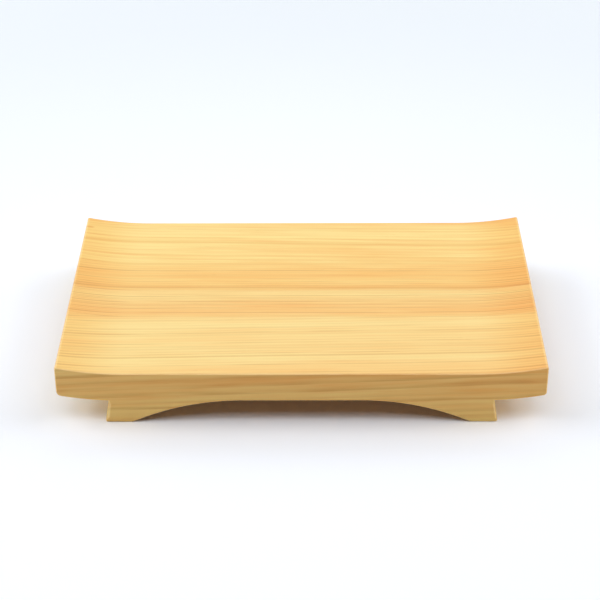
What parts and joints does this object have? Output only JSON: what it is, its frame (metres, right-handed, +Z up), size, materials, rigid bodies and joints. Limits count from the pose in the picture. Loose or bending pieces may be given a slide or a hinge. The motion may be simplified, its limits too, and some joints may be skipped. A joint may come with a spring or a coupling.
{
  "type": "sushi geta board",
  "caption": "Low rectangular wooden serving board with gently upswept ends, standing on feet left by an arched hollow underneath, glued up from dowelled staves.",
  "frame": {"origin": "on the table, under the middle of the board", "axes": "+X along the board's length, +Y from its front long face to its back one, +Z up"},
  "size_m": [0.24, 0.15, 0.0323],
  "materials": {
    "back_stave_wood": "satin",
    "back_centre_stave_wood": "satin",
    "front_centre_stave_wood": "satin",
    "front_stave_wood": "satin",
    "dowel_wood": "matte"
  },
  "bodies": {
    "root": {"back_stave": "back_stave_wood", "back_centre_stave": "back_centre_stave_wood", "front_centre_stave": "front_centre_stave_wood", "front_stave": "front_stave_wood", "back_joint_dowel_1": "dowel_wood", "back_joint_dowel_2": "dowel_wood", "back_joint_dowel_3": "dowel_wood", "back_joint_dowel_4": "dowel_wood", "middle_joint_dowel_1": "dowel_wood", "middle_joint_dowel_2": "dowel_wood", "middle_joint_dowel_3": "dowel_wood", "front_joint_dowel_1": "dowel_wood", "front_joint_dowel_2": "dowel_wood", "front_joint_dowel_3": "dowel_wood", "front_joint_dowel_4": "dowel_wood"}
  },
  "joints": []
}
